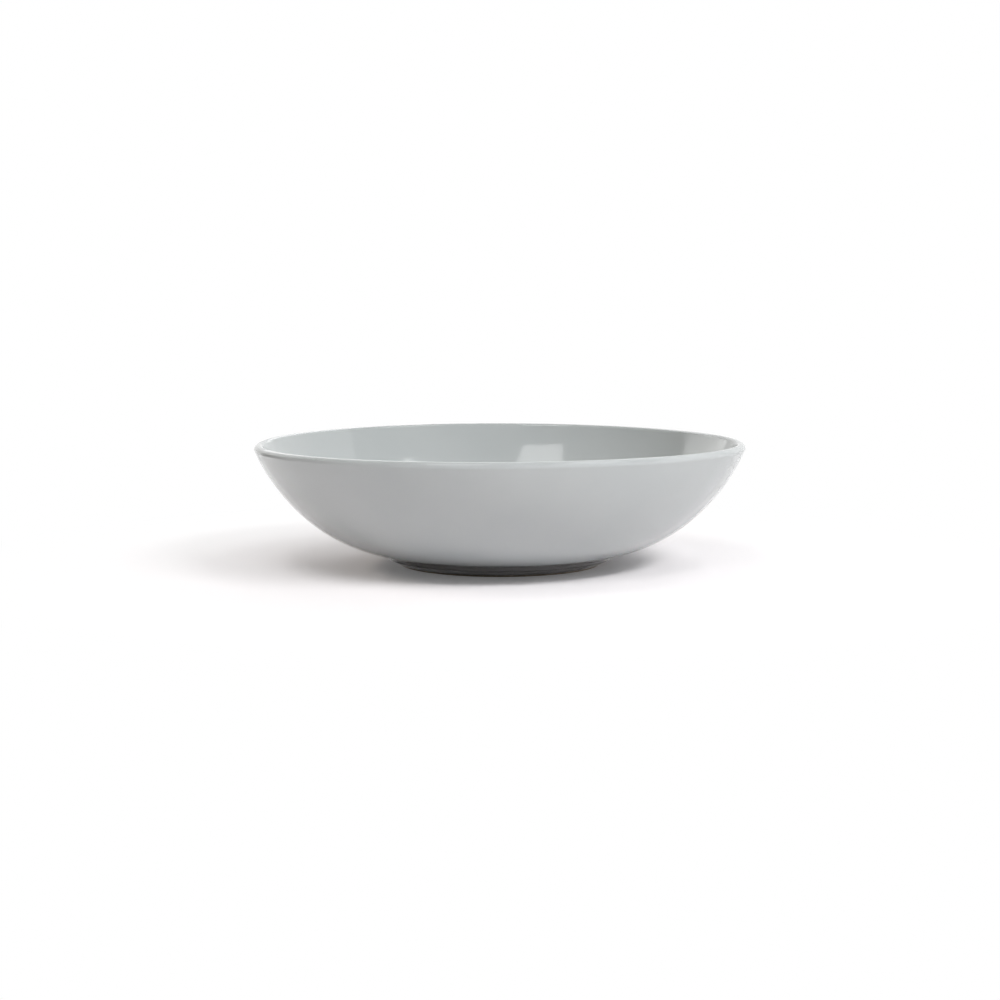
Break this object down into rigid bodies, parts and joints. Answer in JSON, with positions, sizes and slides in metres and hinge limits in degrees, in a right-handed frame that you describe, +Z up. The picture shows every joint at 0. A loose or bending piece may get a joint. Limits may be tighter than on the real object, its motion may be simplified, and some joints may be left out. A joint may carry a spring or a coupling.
{
  "type": "pasta bowl",
  "caption": "Low round-sided pasta bowl of pale grey glazed stoneware, with a flat well, a rounded lip and a tapered foot ring.",
  "frame": {"origin": "centre of the foot ring's standing face, on the plane that the bowl stands on", "axes": "+Z up along the axis that the bowl is turned about; the bowl is alike all round, and -Y faces the camera of the picture"},
  "size_m": [0.22, 0.22, 0.0553],
  "materials": {
    "stoneware": "bare fired clay, fine matt grain",
    "glaze": "plain pale cool grey gloss glaze"
  },
  "bodies": {
    "root": {"bowl_body": "stoneware", "foot_ring": "stoneware", "inner_glaze": "glaze", "rim_glaze": "glaze", "outer_glaze": "glaze", "foot_glaze": "glaze", "base_glaze": "glaze"}
  },
  "joints": []
}
